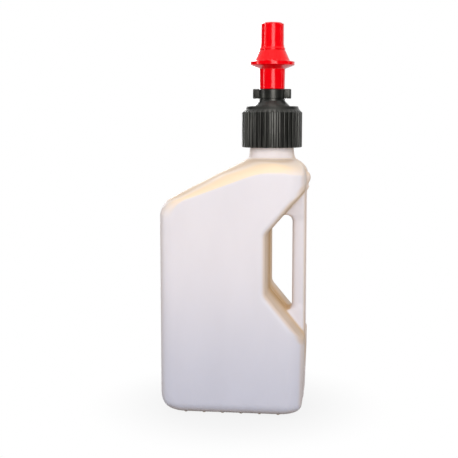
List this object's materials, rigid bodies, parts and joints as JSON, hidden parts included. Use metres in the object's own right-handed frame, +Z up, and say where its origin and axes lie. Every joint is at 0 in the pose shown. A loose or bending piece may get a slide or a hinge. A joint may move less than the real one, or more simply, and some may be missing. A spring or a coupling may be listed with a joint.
{
  "type": "fuel jug",
  "caption": "Tall plastic fuel jug with a through handle, ribbed screw cap and spring-loaded quick-fill nozzle with a tank flange.",
  "frame": {"origin": "on the floor, below the middle of the outline", "axes": "+Z up along the jug, +X from the front towards the handle, +Y across the jug"},
  "size_m": [0.2318, 0.1556, 0.6085],
  "materials": {
    "hdpe": "natural blow-moulded, slightly translucent",
    "black_plastic": "satin moulded",
    "red_plastic": "gloss moulded",
    "rubber": "smooth",
    "spring_steel": "drawn wire"
  },
  "bodies": {
    "jug": {"jug_body": "hdpe"},
    "nozzle": {"nozzle_base": "black_plastic", "neck_gasket": "rubber", "nozzle_body": "red_plastic", "base_seal_ring": "rubber", "gland_ring": "red_plastic", "wiper_ring": "rubber", "valve_stem": "black_plastic", "valve_head": "black_plastic", "head_seal_ring": "rubber", "return_spring": "spring_steel"},
    "cap": {"screw_cap": "black_plastic"},
    "collar": {"clamp_collar": "black_plastic"},
    "tube": {"pour_tube": "red_plastic"}
  },
  "joints": [
    {"name": "cap_lift", "type": "slide", "parent": "jug", "child": "nozzle", "axis": [0, 0, 1], "range_m": [0, 0.0121]},
    {"name": "cap_turn", "type": "hinge", "parent": "nozzle", "child": "cap", "pos_m": [0.054, 0, 0.45], "axis": [0, 0, 1], "range_deg": [0, 720]},
    {"name": "collar_turn", "type": "hinge", "parent": "nozzle", "child": "collar", "pos_m": [0.054, 0, 0.499], "axis": [0, 0, 1], "range_deg": [0, 90]},
    {"name": "tube_push", "type": "slide", "parent": "nozzle", "child": "tube", "axis": [0, 0, -1], "range_m": [0, 0.02], "stiffness_N_per_m": 400, "springref_m": -0.02, "deforming": ["return_spring"]}
  ],
  "couplings": [
    {"joint": "cap_lift", "follows": "cap_turn", "m_per_rad": 0.00095493}
  ]
}
